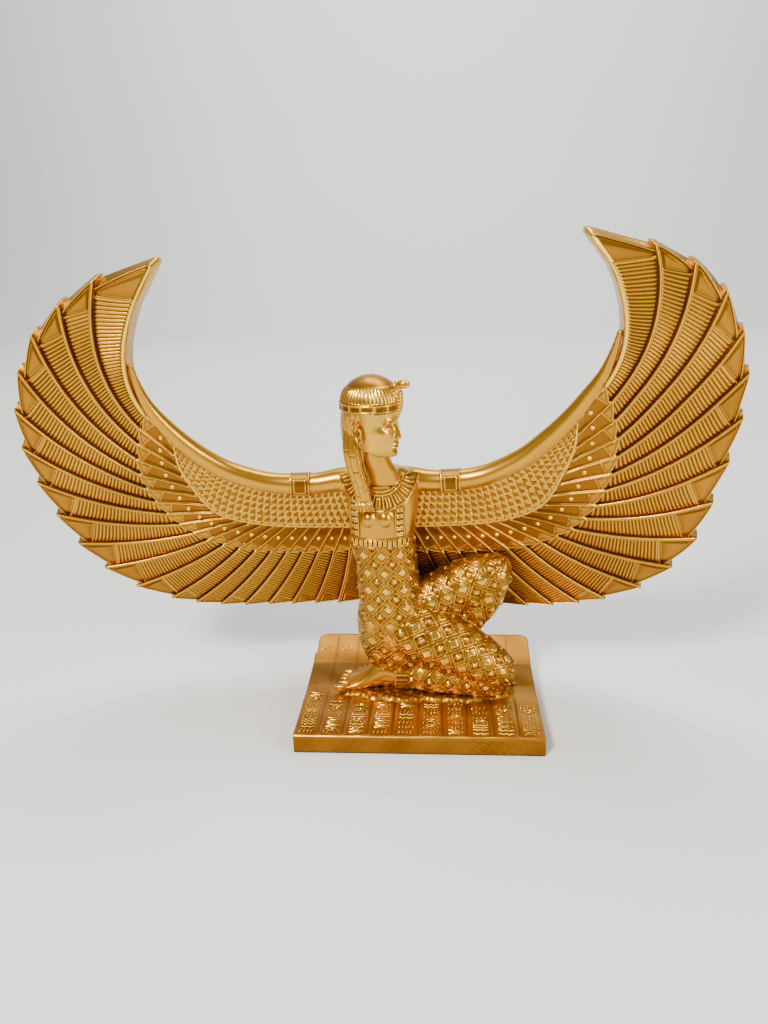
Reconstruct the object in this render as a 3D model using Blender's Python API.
"""Kneeling winged goddess figure on a low plinth, cast in one piece.

Sizes are millimetres here and metres in the mesh.  x runs to the viewer's right,
y runs back from the plinth's front edge and z runs up from its underside.
"""
import math

import bmesh
import bpy
from mathutils import Vector

MM = 0.001
MERGE_DISTANCE = 0.000004

# Plinth: a low slab whose top dips in the middle and rises to the back edge.
PLINTH_WIDTH = 155.0
PLINTH_DEPTH = 112.0
PLINTH_FRONT_HEIGHT = 12.5
PLINTH_DIP_HEIGHT = 11.5
PLINTH_RISE_HEIGHT = 13.5
PLINTH_BACK_HEIGHT = 22.5
PLINTH_DIP_FROM = 30.0
PLINTH_DIP_TO = 60.0
# Distances in front of the back edge: where the steep rise and the side step begin.
PLINTH_RISE_BACK = 27.0
PLINTH_STEP_BACK = 17.0
# The figure's heights are measured with the plinth's dip at this height.
FIGURE_DATUM = 11.5
PLINTH_CORNER = 6.0
PLINTH_STEP_IN = 1.5
PLINTH_STEP_RUN = 1.0
PLINTH_COLUMNS = 10
DIVIDER_WIDTH = 1.2
DIVIDER_DEPTH = 0.8
DIVIDER_MARGIN = 1.5

# Ground: low ragged ledge under the kneeling leg.
GROUND_RISE = 2.6
GROUND_SINK = 3.0
GROUND_MIDDLE = (5.0, 62.0)
GROUND_REACH = (57.0, 22.0)
GROUND_SQUARENESS = 3.4
GROUND_SIDES = 22

# Wings: one curved plate behind the figure, mirrored about x = WING_CENTRE.
WING_CENTRE = -26.0
WING_BASE_Y = 109.6
WING_LEAN = 0.283
WING_SWEEP = 0.00068
RIGHT_WING_LIFT = 13.0
RIGHT_WING_LIFT_FROM = 90.0
RIGHT_WING_LIFT_TO = 220.0
RIGHT_WING_LIFT_REACH = 100.0
RIGHT_TIP_DROP = 5.0
RIGHT_TIP_FROM = 265.0
RIGHT_WING_SHEAR = 0.075
RIGHT_WING_SHEAR_FROM = 200.0
RIGHT_WING_SPREAD = 4.0
RIGHT_SPREAD_BELOW = 160.0
RIGHT_SPREAD_FULL = 110.0
RIGHT_SPREAD_REACH = 150.0
PLATE_THICK_LOW = 14.5
PLATE_THICK_HIGH = 8.0
PLATE_LOW_Z = 59.0
PLATE_HIGH_Z = 293.0
FEATHERS = 21
FIRST_FEATHER_WIDTH = 35.0
OUTER_FEATHER_WIDTH = 24.4
OUTER_FEATHERS = 11
FEATHER_BOW = 27.0
FEATHER_BOW_FADE = 7.0
FEATHER_BOW_PULL = 0.19
FEATHER_STEP = 1.7
FEATHER_EDGE = 0.9
TIP_NOTCH = 5.0
LOW_TIP_NOTCH = 1.2
NOTCH_FADE_FROM = 9.0
NOTCH_FADE_TO = 14.0
TIP_BEVEL = 3.8
COVERT_RISE = 2.0
SCALE_RISE = 3.2
COVERT_STEP = 0.8

# Lines across one wing as (distance from the wing centre, height).
TRAILING_LINE = [(104, 296), (140, 288), (180, 260.5), (203, 216), (205, 168), (192, 115.5),
                 (165, 80.5), (126, 63), (78, 58), (0, 57.5)]
COVERT_LINE = [(131, 208), (138, 196), (144, 172), (140, 150), (129, 131), (113, 117), (88, 107),
               (64, 104), (42, 103), (0, 104)]
SCALE_LINE = [(120, 188), (120, 172), (115, 157), (104, 138), (84, 128.5), (54, 124), (0, 122)]
ARM_LINE = [(114, 181), (106, 173.5), (90, 163.5), (70, 157), (48, 154.5), (0, 158)]

# Arms: (distance from the wing centre, height, radius) from the shoulder out.
ARM_STATIONS = [(10, 158, 9.3), (22, 157.8, 7.8), (36, 155.8, 7.0), (52, 155.6, 6.8),
                (70, 158.2, 6.6), (90, 166.2, 6.4), (104, 176.3, 6.1), (115.5, 188.5, 5.6),
                (124.5, 201.5, 4.8), (131, 215.5, 3.8), (133.5, 227, 2.6)]
ARMBAND_MIDDLE = (47.5, 155.4)
ARMBAND_WIDTH = 12.8
ARMBAND_RADIUS = 7.3
ARMBAND_SQUARENESS = 2.6

# Torso: (height, left x, right x, middle y, half depth).
TORSO_STATIONS = [(30, -33, 8, 64, 16), (38, -36.5, 12, 64, 20), (48, -39.5, 10, 65, 24),
                  (62, -40.5, 6, 66, 26), (76, -38.5, 2, 65, 25), (90, -39, 0, 63, 22),
                  (104, -38.8, -1.5, 60, 19), (117, -41.5, -2, 58.5, 18.5)]
CHEST_STATIONS = [(113, -41.5, -2, 58.5, 18.5), (121, -42.5, -2, 58, 18.8),
                  (133, -42.5, -0.5, 58, 18.6), (146, -43.6, 1, 58, 16.8),
                  (157, -44, 0.5, 58.5, 14), (164, -41, -2.5, 58.5, 10.5),
                  (169, -34, -9, 55, 7.5)]
TORSO_SIDES = 26
CHEST_SIDES = 20
TORSO_SQUARENESS = 2.4

# Legs: (x, y, z, half depth, half height) along each limb.
NEAR_THIGH = [(-20, 60, 62, 19, 19), (-8, 57, 58, 19, 20), (6, 55, 52.5, 18.5, 20.5),
              (20, 54, 46, 17.5, 19.5), (33, 53.5, 39, 16.5, 17.5), (44, 53, 32.5, 15, 15.5),
              (53, 53, 27, 12.5, 12.5), (59, 53, 23, 8, 8.5)]
NEAR_SHIN = [(56, 54, 22, 9, 8), (48, 53.5, 22, 13.5, 11), (34, 54, 23, 14, 12),
             (18, 54.5, 24, 13, 12.5), (2, 55.5, 24.5, 11.5, 12), (-8, 56, 24.5, 9.5, 9.5)]
NEAR_FOOT = [(-4, 56, 24, 8, 8), (-14, 56.5, 23.5, 7.6, 8), (-22, 57, 24, 7.6, 10.5),
             (-27, 57.5, 22.5, 8, 9.5), (-33, 58, 19.5, 8.4, 6.8), (-41, 58.5, 16.5, 9, 5),
             (-49, 59, 15, 9.8, 4), (-54, 59, 14.5, 8.5, 3)]
FAR_THIGH = [(-8, 66, 70, 15, 15), (6, 67, 73, 15, 16), (20, 67, 79, 14.5, 16),
             (34, 66, 87, 14, 15.5), (46, 65.5, 92, 13, 13.5), (55, 65.5, 94, 10.5, 11),
             (59.5, 65.5, 94.5, 5.5, 6)]
FAR_SHIN = [(52, 66, 97, 9, 8), (47, 67, 88, 12, 12), (40, 69, 74, 13, 14),
            (31, 73, 60, 13, 14), (23, 78, 45, 12, 14), (18, 82, 30, 10, 12),
            (16, 84, 17, 9, 10)]
FAR_FOOT = [(11, 84, 19, 8, 9), (24, 84, 19, 8, 9), (38, 84.5, 17.5, 8, 7),
            (50, 85, 16.5, 7.5, 5.5), (60, 85, 15, 5.5, 3.5)]
TOES = 5
LIMB_SIDES = 20
STUD_RISE = 1.1

# Head: turned toward the viewer's right.
HEAD_X = -24.5
HEAD_Y = 42.0
HEAD_TURN = math.radians(65.0)
CROWN_Z = 227.7
BAND_LOW_Z = 208.3
BAND_HIGH_Z = 212.6
BAND_RISE = 0.9
BAND_EDGE = 0.6
WIG_FRONT = 17.4
WIG_BACK = 18.3
WIG_SIDE = 16.6
WIG_SIDES = 26
WIG_STRAND = 0.5
HEAD_SIDES = 24
NECK_STATIONS = [(160, -30.5, -8, 51, 10), (168, -31, -10, 48.5, 9), (174, -31.5, -13.5, 45.5, 8.3),
                 (180, -32, -15.5, 44, 7.6), (186, -32, -16, 43.5, 7.4)]
# Face: (height, front radius, side radius, back radius).
FACE_STATIONS = [(170, 8, 8, 8.5), (176, 9, 8, 9), (178.6, 12.6, 8.4, 10), (180.6, 15.2, 9.2, 11),
                 (183.2, 15.8, 10, 12), (185.2, 15.2, 10.8, 12.5), (187, 16.3, 11.4, 13),
                 (189, 16.2, 12, 13), (191, 16.0, 12.5, 13.5), (193.4, 16.6, 12.9, 13.5),
                 (196.5, 16.7, 13.2, 14), (200, 15.7, 13.5, 14), (203, 16.6, 14, 14.5),
                 (207, 16.9, 14.5, 15), (213, 16, 14.5, 15)]
NOSE_TIP_Z = 193.0
NOSE_ROOT_Z = 201.0
NOSE_BASE_Z = 190.4
NOSE_RISE = 3.4
NOSE_WIDTH = 0.17
EYE_Z = 199.8
EYE_ANGLE = 0.46
EYE_SINK = 1.3
EYE_WIDTH = 0.22
EYE_HEIGHT = 1.8
EAR_ANGLE = -1.62
EAR_OUT = 14.4
EAR_Z = 196.6
EAR_RADII = (2.9, 2.2, 5.2)
BALL_SIDES = 10
BALL_LEVELS = 6
# Wig: (height, middle x, middle y, half width, half depth).
HAIR_STATIONS = [(211, -27, 44, 14.6, 15), (199, -30.8, 46, 12.4, 14),
                 (188, -32, 48.5, 11, 12), (176, -31.5, 51, 9.8, 10),
                 (166, -29.8, 53, 8.8, 9), (158, -28.8, 54, 8.4, 8.5)]
LOCK_STATIONS = [(198, -37.2, 40, 5, 5), (184, -37.6, 38.2, 5.4, 4.8), (172, -35.9, 38, 5.2, 4.4),
                 (160, -33.2, 38.4, 5.2, 4), (147.5, -30.8, 39.2, 5.2, 3.6)]
HAIR_STRAND = 0.6

# Cobra: (distance forward of the head's axis, height, radius) from its tail up.
COBRA_STATIONS = [(16.5, 206, 1.5), (18.2, 211, 1.8), (17.6, 216.5, 1.9), (16.8, 221, 1.9),
                  (19.0, 223.4, 1.8), (23.4, 222.6, 1.2)]

# Dress: belt, collar arc, straps, breasts, anklet and toes.
RIBBON_SINK = 3.0
BELT_Z = 124.0
BELT_HEIGHT = 6.5
BELT_RISE = 1.3
BELT_FROM = -40.0
BELT_TO = -4.0
COLLAR_MIDDLE = (-21.0, 168.0)
COLLAR_RADIUS = 18.5
COLLAR_WIDTH = 8.5
COLLAR_RISE = 1.2
COLLAR_START = math.radians(186.0)
COLLAR_SWEEP = math.radians(168.0)
STRAP_XS = (-38.0, -9.8)
STRAP_TOP = 153.0
STRAP_BOTTOM = 129.0
STRAP_WIDTH = 6.2
BREAST_XS = (-28.6, -18.8)
BREAST_Z = 139.5
BREAST_SINK = 3.4
BREAST_RADII = (5.2, 5.4, 6.2)
ANKLET_XS = (-15.5, -11.0, -6.5)
ANKLET_Y = 56.3
ANKLET_Z = 23.8
ANKLET_RADII = (9.4, 10.0)
TOE_X = -54.5
TOE_Z = 14.6
TOE_FIRST_Y = 51.5
TOE_PITCH = 4.0
TOE_RADII = (4.2, 2.2, 2.5)
TOE_SIDES = 6
TOE_LEVELS = 5
TOE_SLANT = 0.8
BIG_TOE_GROW = 1.0


def slab_place(x, y, z):
    """Point in metres about the middle of the plinth's underside."""
    return Vector((x * MM, (y - PLINTH_DEPTH / 2) * MM, z * MM))


def place(x, y, z):
    """Point of the figure, which stands on the dip of the plinth."""
    return slab_place(x, y, z + PLINTH_DIP_HEIGHT - FIGURE_DATUM)


def make_object(name, points, faces):
    """Closed mesh object with its faces turned outward."""
    mesh = bpy.data.meshes.new(name)
    mesh.from_pydata([tuple(p) for p in points], [], faces)
    work = bmesh.new()
    work.from_mesh(mesh)
    bmesh.ops.recalc_face_normals(work, faces=work.faces)
    work.to_mesh(mesh)
    work.free()
    obj = bpy.data.objects.new(name, mesh)
    bpy.context.scene.collection.objects.link(obj)
    return obj


def merge_points(obj):
    """Merge coincident points and drop the faces that collapse."""
    work = bmesh.new()
    work.from_mesh(obj.data)
    bmesh.ops.remove_doubles(work, verts=work.verts, dist=MERGE_DISTANCE)
    bmesh.ops.dissolve_degenerate(work, edges=work.edges, dist=MERGE_DISTANCE)
    work.to_mesh(obj.data)
    work.free()


def skin(name, rings):
    """Closed tube through rings that all have the same number of points."""
    sides = len(rings[0])
    points = [p for ring in rings for p in ring]
    faces = []
    for r in range(len(rings) - 1):
        for s in range(sides):
            a = r * sides + s
            b = r * sides + (s + 1) % sides
            faces.append((a, b, b + sides, a + sides))
    faces.append(tuple(range(sides)))
    faces.append(tuple(range((len(rings) - 1) * sides, len(rings) * sides)))
    return make_object(name, points, faces)


def rounded(angle, power):
    """Unit outline between an ellipse (power 2) and a box."""
    c = math.cos(angle)
    s = math.sin(angle)
    c = math.copysign(abs(c) ** (2 / power), c)
    s = math.copysign(abs(s) ** (2 / power), s)
    return c, s


def stud(row, side, rise):
    """Raise every other grid point, so the cloth carries a lattice of studs."""
    return rise if (row + side) % 2 == 0 else 0.0


def resample(stations, count):
    """Smooth, evenly spaced stations through the given ones."""
    result = []
    for k in range(count):
        at = k * (len(stations) - 1) / (count - 1)
        i = min(int(at), len(stations) - 2)
        t = at - i
        before = stations[max(i - 1, 0)]
        after = stations[min(i + 2, len(stations) - 1)]
        row = []
        for p0, p1, p2, p3 in zip(before, stations[i], stations[i + 1], after):
            row.append(p1 + 0.5 * t * (p2 - p0 + t * (2 * p0 - 5 * p1 + 4 * p2 - p3
                                                      + t * (3 * (p1 - p2) + p3 - p0))))
        result.append(row)
    return result


def body_tube(name, stations, count, sides, power, rise=0.0):
    """Upright tube from (z, left, right, middle y, half depth) stations."""
    rings = []
    for r, (z, left, right, mid_y, half_depth) in enumerate(resample(stations, count)):
        ring = []
        for s in range(sides):
            c, d = rounded(2 * math.pi * s / sides, power)
            out = stud(r, s, rise) if 0 < r < count - 1 and d < 0.4 else 0.0
            ring.append(place((left + right) / 2 + c * ((right - left) / 2 + out),
                              mid_y + d * (half_depth + out), z))
        rings.append(ring)
    return skin(name, rings)


def limb(name, stations, count, sides, rise=0.0, power=2.0):
    """Tube along an axis in (x, y, z, half depth, half height) stations."""
    smooth = resample(stations, count)
    rings = []
    for r, (x, y, z, half_depth, half_height) in enumerate(smooth):
        before = smooth[max(r - 1, 0)]
        after = smooth[min(r + 1, count - 1)]
        along = Vector((after[0] - before[0], after[1] - before[1], after[2] - before[2]))
        along.normalize()
        across = Vector((0, 1, 0))
        across = (across - along * along.dot(across)).normalized()
        up = across.cross(along)
        ring = []
        for s in range(sides):
            c, d = rounded(2 * math.pi * s / sides, power)
            out = stud(r, s, rise) if 0 < r < count - 1 else 0.0
            p = Vector((x, y, z)) + across * c * (half_depth + out) + up * d * (half_height + out)
            ring.append(place(*p))
        rings.append(ring)
    return skin(name, rings)


def between(line, share):
    """Point of a smooth line at a share of its length."""
    fine = resample(line, 8 * len(line))
    lengths = [math.dist(fine[i], fine[i + 1]) for i in range(len(fine) - 1)]
    goal = share * sum(lengths)
    for i, length in enumerate(lengths):
        if goal <= length or i == len(lengths) - 1:
            t = min(goal / length, 1.0)
            return [fine[i][0] + t * (fine[i + 1][0] - fine[i][0]),
                    fine[i][1] + t * (fine[i + 1][1] - fine[i][1])]
        goal -= length


def tip_share(j):
    """Share of the trailing line at the edge between feathers j - 1 and j."""
    fine = resample(TRAILING_LINE, 8 * len(TRAILING_LINE))
    total = sum(math.dist(fine[i], fine[i + 1]) for i in range(len(fine) - 1))
    outer = FIRST_FEATHER_WIDTH + OUTER_FEATHERS * OUTER_FEATHER_WIDTH
    if j == 0:
        return 0.0
    if j <= OUTER_FEATHERS + 1:
        return (FIRST_FEATHER_WIDTH + (j - 1) * OUTER_FEATHER_WIDTH) / total
    rest = (total - outer) / (FEATHERS - OUTER_FEATHERS - 1)
    return (outer + (j - OUTER_FEATHERS - 1) * rest) / total


def feather_line(j, t):
    """Point at share t of the edge of feather j, from its covert to its tip."""
    root = between(COVERT_LINE, j / FEATHERS)
    tip = between(TRAILING_LINE, tip_share(j))
    chord = Vector((tip[0] - root[0], tip[1] - root[1]))
    outward = Vector((chord.y, -chord.x)).normalized()
    bow = FEATHER_BOW * math.exp(-j / FEATHER_BOW_FADE)
    pull = FEATHER_BOW_PULL * math.exp(-j)
    mid_x = (root[0] + tip[0]) / 2 + outward.x * bow - chord.x * pull
    mid_z = (root[1] + tip[1]) / 2 + outward.y * bow - chord.y * pull
    a, b, c = (1 - t) ** 2, 2 * t * (1 - t), t * t
    return [a * root[0] + b * mid_x + c * tip[0], a * root[1] + b * mid_z + c * tip[1]]


def wing_y(dx, z):
    """Front face of the plate, leaning forward and sweeping forward to the tips."""
    return WING_BASE_Y - WING_LEAN * z - WING_SWEEP * dx * dx


def ease(value, start, end):
    """Smooth step from 0 at start to 1 at end."""
    share = min(max((value - start) / (end - start), 0.0), 1.0)
    return share * share * (3 - 2 * share)


def wing_spot(side, dx, z, out):
    """Plate point (x, y, z): side -1 or 1, out is how far it stands forward."""
    if side > 0:
        lift = RIGHT_WING_LIFT * ease(z, RIGHT_WING_LIFT_FROM, RIGHT_WING_LIFT_TO)
        lift -= RIGHT_TIP_DROP * ease(z, RIGHT_TIP_FROM, PLATE_HIGH_Z)
        spread = RIGHT_WING_SPREAD * ease(z, RIGHT_SPREAD_BELOW, RIGHT_SPREAD_FULL)
        dx = dx + spread * min(dx / RIGHT_SPREAD_REACH, 1.0)
        dx = dx + RIGHT_WING_SHEAR * max(z - RIGHT_WING_SHEAR_FROM, 0.0)
        z = z + lift * min(dx / RIGHT_WING_LIFT_REACH, 1.0) ** 2
    return WING_CENTRE + side * dx, wing_y(dx, z) - out, z


def plate_thickness(z):
    share = (z - PLATE_LOW_Z) / (PLATE_HIGH_Z - PLATE_LOW_Z)
    return PLATE_THICK_LOW + (PLATE_THICK_HIGH - PLATE_THICK_LOW) * min(max(share, 0.0), 1.0)


def wing_column(j, high):
    """Front rows (dx, z, out) and back rows of one column of the plate."""
    lift = FEATHER_STEP if high else 0.0
    shift = 0.0 if j in (0, FEATHERS) else (FEATHER_EDGE if high else -FEATHER_EDGE) / 2
    share = j / FEATHERS
    arm = between(ARM_LINE, share)
    scale = between(SCALE_LINE, share)
    covert = between(COVERT_LINE, share)
    rows = [(arm[0], arm[1], SCALE_RISE)]
    rows.append((scale[0], scale[1], SCALE_RISE))
    start = part_way(scale, covert, 0.12)
    rows.append((start[0], start[1], COVERT_RISE + (COVERT_STEP if high else 0.0)))
    rows.append((covert[0], covert[1], COVERT_RISE + (COVERT_STEP if high else 0.0)))
    tip = feather_line(j, 1.0)
    length = math.dist(covert, tip)
    cut = 0.0 if high or j == FEATHERS else tip_notch(j)
    for t in (0.05, 0.36, 0.66, 0.9, 1.0):
        x, z = feather_line(j, t * (1 - (cut + TIP_BEVEL) / length))
        rows.append((x, z, lift))
    slide = edge_slide(j) * shift
    front = rows[:2] + [(x + slide.x, z + slide.y, out) for x, z, out in rows[2:]]
    behind = [arm, covert] + [feather_line(j, t) for t in (0.36, 0.66, 0.84)]
    back = [(x, z, -plate_thickness(z)) for x, z in behind]
    x, z = feather_line(j, 1 - cut / length)
    back.append((x + slide.x, z + slide.y, -plate_thickness(z)))
    return front, back


def tip_notch(j):
    """Depth of the notch before feather j, shallower along the lower edge."""
    share = ease(j, NOTCH_FADE_FROM, NOTCH_FADE_TO)
    return TIP_NOTCH + (LOW_TIP_NOTCH - TIP_NOTCH) * share


def part_way(scale, covert, t):
    return [scale[0] + t * (covert[0] - scale[0]), scale[1] + t * (covert[1] - scale[1])]


def edge_slide(j):
    """Unit step from feather j - 1 toward feather j, across the feathers."""
    a = feather_line(max(j - 1, 0), 0.5)
    b = feather_line(min(j + 1, FEATHERS), 0.5)
    return Vector((b[0] - a[0], b[1] - a[1])).normalized()


# Rows that bound each face closing the leading edge: front rows, then back rows.
END_BANDS = [(0, 1, 2, 3, 10, 9), (3, 4, 5, 11, 10), (5, 6, 12, 11), (6, 7, 13, 12),
             (7, 8, 14, 13)]


def wings():
    """The feathered plate from the left wing tip to the right wing tip."""
    half = [(0, True)]
    for j in range(1, FEATHERS):
        half += [(j, False), (j, True)]
    columns = [(-1, j, high) for j, high in half]
    columns.append((-1, FEATHERS, False))
    columns += [(1, j, high) for j, high in reversed(half)]
    points = []
    front_rows = back_rows = 0
    for side, j, high in columns:
        front, back = wing_column(j, high)
        front_rows, back_rows = len(front), len(back)
        points += [place(*wing_spot(side, *p)) for p in front + back]
    rows = front_rows + back_rows
    loop = list(range(front_rows)) + list(range(rows - 1, front_rows - 1, -1))
    faces = []
    for c in range(len(columns) - 1):
        for k in range(rows):
            a = c * rows + loop[k]
            b = c * rows + loop[(k + 1) % rows]
            faces.append((a, b, b + rows, a + rows))
    for c in (0, len(columns) - 1):
        for band in END_BANDS:
            faces.append(tuple(c * rows + k for k in band))
    plate = make_object("wings", points, faces)
    merge_points(plate)
    return plate


def arm(side):
    """Smooth arm along the leading edge, with a raised band near the shoulder."""
    stations = []
    for dx, z, radius in ARM_STATIONS:
        stations.append((*wing_spot(side, dx, z, 0.0), radius, radius))
    return limb("arm", stations, 13, 10)


def armband(side):
    """Rectangular band round the arm."""
    stations = []
    for share in (-0.5, 0.0, 0.5):
        dx = ARMBAND_MIDDLE[0] + share * ARMBAND_WIDTH
        spot = wing_spot(side, dx, ARMBAND_MIDDLE[1], 0.0)
        stations.append((*spot, ARMBAND_RADIUS, ARMBAND_RADIUS))
    return limb("armband", stations, 3, 12, power=ARMBAND_SQUARENESS)


def plinth_height(y):
    """Top of the plinth at a distance from its front edge."""
    profile = [(0, PLINTH_FRONT_HEIGHT), (PLINTH_DIP_FROM, PLINTH_DIP_HEIGHT),
               (PLINTH_DIP_TO, PLINTH_DIP_HEIGHT),
               (PLINTH_DEPTH - PLINTH_RISE_BACK, PLINTH_RISE_HEIGHT),
               (PLINTH_DEPTH, PLINTH_BACK_HEIGHT)]
    for (y0, z0), (y1, z1) in zip(profile, profile[1:]):
        if y <= y1:
            return z0 + (z1 - z0) * (y - y0) / (y1 - y0)
    return PLINTH_BACK_HEIGHT


def plinth():
    """Slab with a dipped top, rounded back corners and column grooves."""
    half = PLINTH_WIDTH / 2
    pitch = PLINTH_WIDTH / PLINTH_COLUMNS
    step_y = PLINTH_DEPTH - PLINTH_STEP_BACK
    stops = [0, DIVIDER_MARGIN, PLINTH_DIP_FROM, PLINTH_DIP_TO, PLINTH_DEPTH - PLINTH_RISE_BACK,
             step_y - PLINTH_STEP_RUN, step_y, PLINTH_DEPTH - PLINTH_CORNER,
             PLINTH_DEPTH - PLINTH_CORNER * 0.3, PLINTH_DEPTH - DIVIDER_MARGIN, PLINTH_DEPTH]
    xs = [-half]
    grooved = [False]
    for k in range(1, PLINTH_COLUMNS):
        middle = -half + k * pitch
        xs += [middle - DIVIDER_WIDTH / 2, middle, middle + DIVIDER_WIDTH / 2]
        grooved += [False, True, False]
    xs.append(half)
    grooved.append(False)
    points = []
    for y in stops:
        past = max(y - (PLINTH_DEPTH - PLINTH_CORNER), 0.0)
        corner = PLINTH_CORNER - math.sqrt(max(PLINTH_CORNER ** 2 - past ** 2, 0.0))
        step = PLINTH_STEP_IN if y >= step_y else 0.0
        inside = DIVIDER_MARGIN <= y <= PLINTH_DEPTH - DIVIDER_MARGIN
        for x, groove in zip(xs, grooved):
            if x == -half:
                x = x + corner + step
            if x == half:
                x = x - corner
            drop = DIVIDER_DEPTH if groove and inside else 0.0
            points.append(slab_place(x, y, plinth_height(y) - drop))
    width = len(xs)
    top = len(points)
    points += [Vector((p.x, p.y, 0.0)) for p in points]
    faces = []
    for r in range(len(stops) - 1):
        for c in range(width - 1):
            a = r * width + c
            faces.append((a, a + 1, a + 1 + width, a + width))
    edge = list(range(width))
    edge += [r * width + width - 1 for r in range(1, len(stops))]
    edge += [(len(stops) - 1) * width + c for c in range(width - 2, -1, -1)]
    edge += [r * width for r in range(len(stops) - 2, 0, -1)]
    for a, b in zip(edge, edge[1:] + edge[:1]):
        faces.append((a, b, b + top, a + top))
    faces.append(tuple(top + k for k in edge))
    used = sorted({k for face in faces for k in face})
    number = {k: n for n, k in enumerate(used)}
    return make_object("plinth", [points[k] for k in used],
                       [tuple(number[k] for k in face) for face in faces])


def ground_pad():
    """Low uneven ledge of ground under the kneeling leg."""
    levels = [(PLINTH_DIP_HEIGHT - GROUND_SINK, 1.0), (PLINTH_DIP_HEIGHT + GROUND_RISE * 0.4, 0.99),
              (PLINTH_DIP_HEIGHT + GROUND_RISE, 0.93)]
    rings = []
    for z, grow in levels:
        ring = []
        for s in range(GROUND_SIDES):
            c, d = rounded(2 * math.pi * s / GROUND_SIDES, GROUND_SQUARENESS)
            ragged = grow * (1.0 + 0.03 * math.sin(5.0 * s) + 0.02 * math.sin(2.3 * s + 1.0))
            ring.append(slab_place(GROUND_MIDDLE[0] + GROUND_REACH[0] * c * ragged,
                                   GROUND_MIDDLE[1] + GROUND_REACH[1] * d * ragged, z))
        rings.append(ring)
    return skin("ground", rings)


def head_spot(angle, radius, z):
    """Point (x, y, z) about the head's axis; angle 0 looks along the face."""
    turn = HEAD_TURN + angle
    return HEAD_X + radius * math.sin(turn), HEAD_Y - radius * math.cos(turn), z


def face_radius(angle, front, side, back, z):
    """Radius of the head with nose, eye sockets and brow worked in."""
    long = front if abs(angle) < math.pi / 2 else back
    c = math.cos(angle) / long
    s = math.sin(angle) / side
    radius = 1 / math.hypot(c, s)
    if NOSE_BASE_Z < z < NOSE_ROOT_Z:
        if z > NOSE_TIP_Z:
            rise = NOSE_RISE * (NOSE_ROOT_Z - z) / (NOSE_ROOT_Z - NOSE_TIP_Z)
        else:
            rise = NOSE_RISE * (z - NOSE_BASE_Z) / (NOSE_TIP_Z - NOSE_BASE_Z)
        radius += rise * math.exp(-(angle / NOSE_WIDTH) ** 2)
    near_eye = ((abs(angle) - EYE_ANGLE) / EYE_WIDTH) ** 2 + ((z - EYE_Z) / EYE_HEIGHT) ** 2
    radius -= EYE_SINK * math.exp(-near_eye)
    return radius


def head():
    """Neck, face and skull in one loft."""
    rings = []
    for z, front, side, back in FACE_STATIONS:
        ring = []
        for s in range(HEAD_SIDES):
            angle = 2 * math.pi * (s - HEAD_SIDES / 2) / HEAD_SIDES
            angle = angle * (0.55 + 0.45 * (angle / math.pi) ** 2)
            radius = face_radius(angle, front, side, back, z)
            ring.append(place(*head_spot(angle, radius, z)))
        rings.append(ring)
    return skin("head", rings)


def neck():
    """Neck, hidden at its back by the hair."""
    return body_tube("neck", NECK_STATIONS, 6, 12, 2.0)


def wig_cap():
    """Smooth cap with a raised head band and radial strands."""
    rings = []
    base = BAND_HIGH_Z + BAND_EDGE
    levels = [(BAND_LOW_Z - BAND_EDGE, 0.0), (BAND_LOW_Z, BAND_RISE), (BAND_HIGH_Z, BAND_RISE),
              (base, 0.0)]
    for k in range(1, 6):
        levels.append((base + (CROWN_Z - base) * math.sin(k * math.pi / 2 / 6), 0.0))
    for z, rise in levels:
        share = max(z - base, 0.0) / (CROWN_Z - base)
        shrink = math.sqrt(max(1 - share ** 1.8, 0.0))
        ring = []
        for s in range(WIG_SIDES):
            angle = 2 * math.pi * s / WIG_SIDES
            long = WIG_FRONT if math.cos(angle) > 0 else WIG_BACK
            radius = 1 / math.hypot(math.cos(angle) / long, math.sin(angle) / WIG_SIDE)
            strand = WIG_STRAND if s % 2 and 0 < share < 0.95 else 0.0
            ring.append(place(*head_spot(angle, (radius + rise) * shrink + strand, z)))
        rings.append(ring)
    return skin("wig", rings)


def hair(name, stations, count, sides, power):
    """Hanging hair from (z, x, y, half width, half depth), with strand grooves."""
    rings = []
    for r, (z, x, y, half_width, half_depth) in enumerate(resample(stations, count)):
        ring = []
        for s in range(sides):
            c, d = rounded(2 * math.pi * s / sides, power)
            out = HAIR_STRAND if s % 2 else 0.0
            ring.append(place(x + c * (half_width + out), y + d * (half_depth + out), z))
        rings.append(ring)
    return skin(name, rings)


def uraeus():
    """Small rearing cobra at the front of the head band."""
    stations = []
    for forward, z, radius in COBRA_STATIONS:
        stations.append((*head_spot(0.0, forward, z), radius, radius))
    return limb("cobra", stations, 10, 8)


def ball(name, x, y, z, rx, ry, rz, sides, levels):
    """Ellipsoid."""
    rings = []
    for k in range(1, levels):
        tilt = math.pi * k / levels
        ring = []
        for s in range(sides):
            a = 2 * math.pi * s / sides
            ring.append(place(x + rx * math.sin(tilt) * math.cos(a),
                              y + ry * math.sin(tilt) * math.sin(a), z + rz * math.cos(tilt)))
        rings.append(ring)
    return skin(name, rings)


def chest_front(x, z):
    """Front face of the chest at x and height z."""
    stations = resample(CHEST_STATIONS, 25)
    lower = max((s for s in stations if s[0] <= z), key=lambda s: s[0], default=stations[0])
    _, left, right, mid_y, half_depth = lower
    share = min(abs(x - (left + right) / 2) / ((right - left) / 2), 0.98)
    return mid_y - half_depth * (1 - share ** TORSO_SQUARENESS) ** (1 / TORSO_SQUARENESS)


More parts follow.
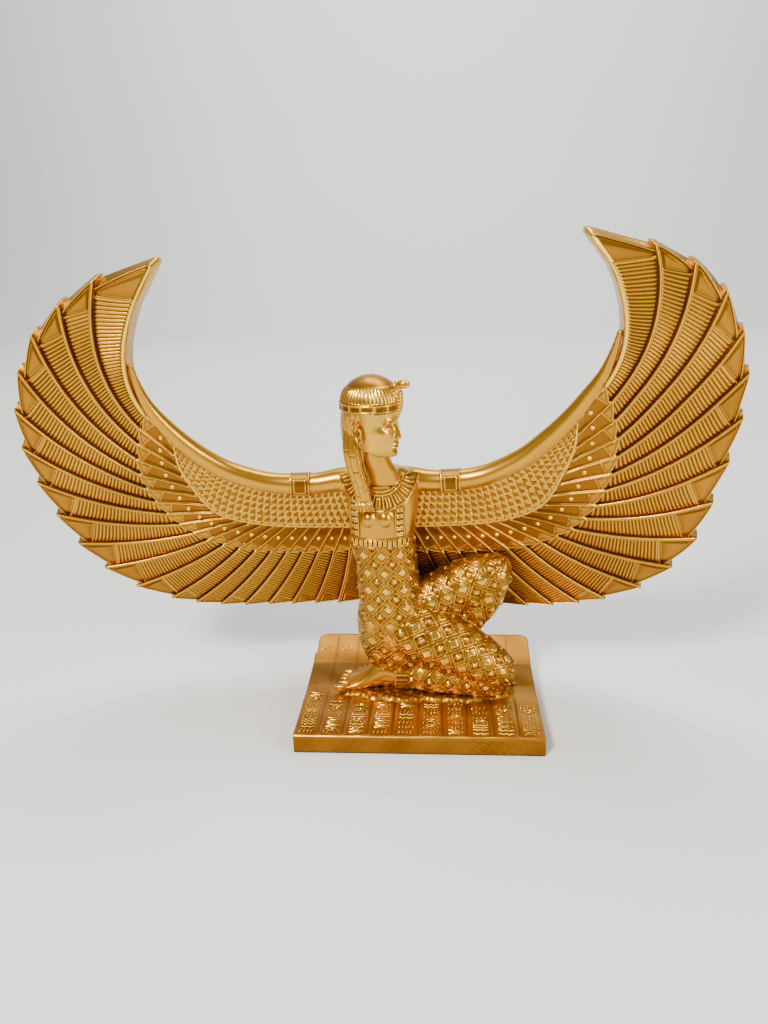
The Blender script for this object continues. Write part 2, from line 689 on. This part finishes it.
def ribbon(name, path, width, rise):
    """Raised flat ribbon laid on the chest along (x, z) points."""
    rings = []
    for k, (x, z) in enumerate(path):
        before = path[max(k - 1, 0)]
        after = path[min(k + 1, len(path) - 1)]
        run = Vector((after[0] - before[0], after[1] - before[1])).normalized()
        edge = Vector((-run.y, run.x)) * width / 2
        ring = []
        for sign in (-1, 1):
            px, pz = x + sign * edge.x, z + sign * edge.y
            ring.append(place(px, chest_front(px, pz) - rise, pz))
        for sign in (1, -1):
            px, pz = x + sign * edge.x, z + sign * edge.y
            ring.append(place(px, chest_front(px, pz) + RIBBON_SINK, pz))
        rings.append(ring)
    return skin(name, rings)


def dress_details():
    """Collar, straps, belt and chest."""
    collar = []
    steps = 12
    for k in range(steps + 1):
        a = COLLAR_START + COLLAR_SWEEP * k / steps
        collar.append((COLLAR_MIDDLE[0] + COLLAR_RADIUS * math.cos(a),
                       COLLAR_MIDDLE[1] + COLLAR_RADIUS * math.sin(a)))
    parts = [ribbon("collar", collar, COLLAR_WIDTH, COLLAR_RISE)]
    for x in STRAP_XS:
        strap = [(x, STRAP_TOP + (STRAP_BOTTOM - STRAP_TOP) * k / 3) for k in range(4)]
        parts.append(ribbon("strap", strap, STRAP_WIDTH, COLLAR_RISE))
    belt = [(BELT_FROM + (BELT_TO - BELT_FROM) * k / 9, BELT_Z) for k in range(10)]
    parts.append(ribbon("belt", belt, BELT_HEIGHT, BELT_RISE))
    for x in BREAST_XS:
        y = chest_front(x, BREAST_Z) + BREAST_SINK
        parts.append(ball("breast", x, y, BREAST_Z, *BREAST_RADII, BALL_SIDES, BALL_LEVELS))
    return parts


def feet_details():
    """Toes of the folded foot and the band round its ankle."""
    parts = []
    for k in range(TOES):
        big = BIG_TOE_GROW if k == 0 else 0.0
        parts.append(ball("toe", TOE_X + TOE_SLANT * k - 1.5 * big, TOE_FIRST_Y + TOE_PITCH * k,
                          TOE_Z, TOE_RADII[0] + big, TOE_RADII[1] + 0.3 * big, TOE_RADII[2],
                          TOE_SIDES, TOE_LEVELS))
    band = [(x, ANKLET_Y, ANKLET_Z, *ANKLET_RADII) for x in ANKLET_XS]
    parts.append(limb("anklet", band, 3, 14))
    return parts


def ear():
    """Ear on the side of the head that faces the viewer."""
    return ball("ear", *head_spot(EAR_ANGLE, EAR_OUT, EAR_Z), *EAR_RADII, BALL_SIDES, BALL_LEVELS)


def unite(name, parts):
    """Join all closed parts into one solid under the given name."""
    base = parts[0]
    base.name = name
    shelf = bpy.data.collections.new("joined_parts")
    bpy.context.scene.collection.children.link(shelf)
    for part in parts[1:]:
        bpy.context.scene.collection.objects.unlink(part)
        shelf.objects.link(part)
        part.hide_render = True
        part.display_type = 'WIRE'
    join = base.modifiers.new("join", 'BOOLEAN')
    join.operation = 'UNION'
    join.operand_type = 'COLLECTION'
    join.collection = shelf
    join.solver = 'EXACT'
    bpy.context.view_layer.update()
    solid = bpy.data.meshes.new_from_object(
        base.evaluated_get(bpy.context.evaluated_depsgraph_get()))
    base.modifiers.clear()
    base.data = solid
    for part in parts[1:]:
        bpy.data.objects.remove(part)
    bpy.data.collections.remove(shelf)
    return base


def clean(obj):
    """Merge coincident points and shade the surface smooth."""
    merge_points(obj)
    work = bmesh.new()
    work.from_mesh(obj.data)
    bmesh.ops.triangulate(work, faces=work.faces)
    for face in work.faces:
        face.smooth = True
    for edge in work.edges:
        edge.smooth = edge.is_manifold and edge.calc_face_angle(0.0) < math.radians(38)
    work.to_mesh(obj.data)
    work.free()


def gold_paint():
    """Satin gold paint over the casting."""
    material = bpy.data.materials.new("gold_paint")
    material.use_nodes = True
    shader = material.node_tree.nodes["Principled BSDF"]
    shader.inputs["Base Color"].default_value = (0.72, 0.43, 0.1, 1.0)
    shader.inputs["Roughness"].default_value = 0.32
    shader.inputs["Metallic"].default_value = 0.9
    return material


for old in list(bpy.data.objects):
    bpy.data.objects.remove(old)

pieces = [plinth(), ground_pad(), wings()]
pieces += [arm(-1), arm(1), armband(-1), armband(1)]
pieces.append(body_tube("torso", TORSO_STATIONS, 19, TORSO_SIDES, TORSO_SQUARENESS, STUD_RISE))
pieces.append(body_tube("chest", CHEST_STATIONS, 9, CHEST_SIDES, TORSO_SQUARENESS))
pieces.append(limb("near_thigh", NEAR_THIGH, 15, LIMB_SIDES, STUD_RISE))
pieces.append(limb("near_shin", NEAR_SHIN, 12, 16, STUD_RISE))
pieces.append(limb("near_foot", NEAR_FOOT, 12, 12))
pieces.append(limb("far_thigh", FAR_THIGH, 12, 16, STUD_RISE))
pieces.append(limb("far_shin", FAR_SHIN, 13, 16, STUD_RISE))
pieces.append(limb("far_foot", FAR_FOOT, 5, 10))
pieces += [neck(), head(), wig_cap(), uraeus(), ear()]
pieces.append(hair("back_hair", HAIR_STATIONS, 7, 20, 2.3))
pieces.append(hair("front_lock", LOCK_STATIONS, 7, 14, 3.0))
pieces += dress_details()
pieces += feet_details()

figure = unite("winged_goddess", pieces)
clean(figure)
figure.data.materials.clear()
figure.data.materials.append(gold_paint())
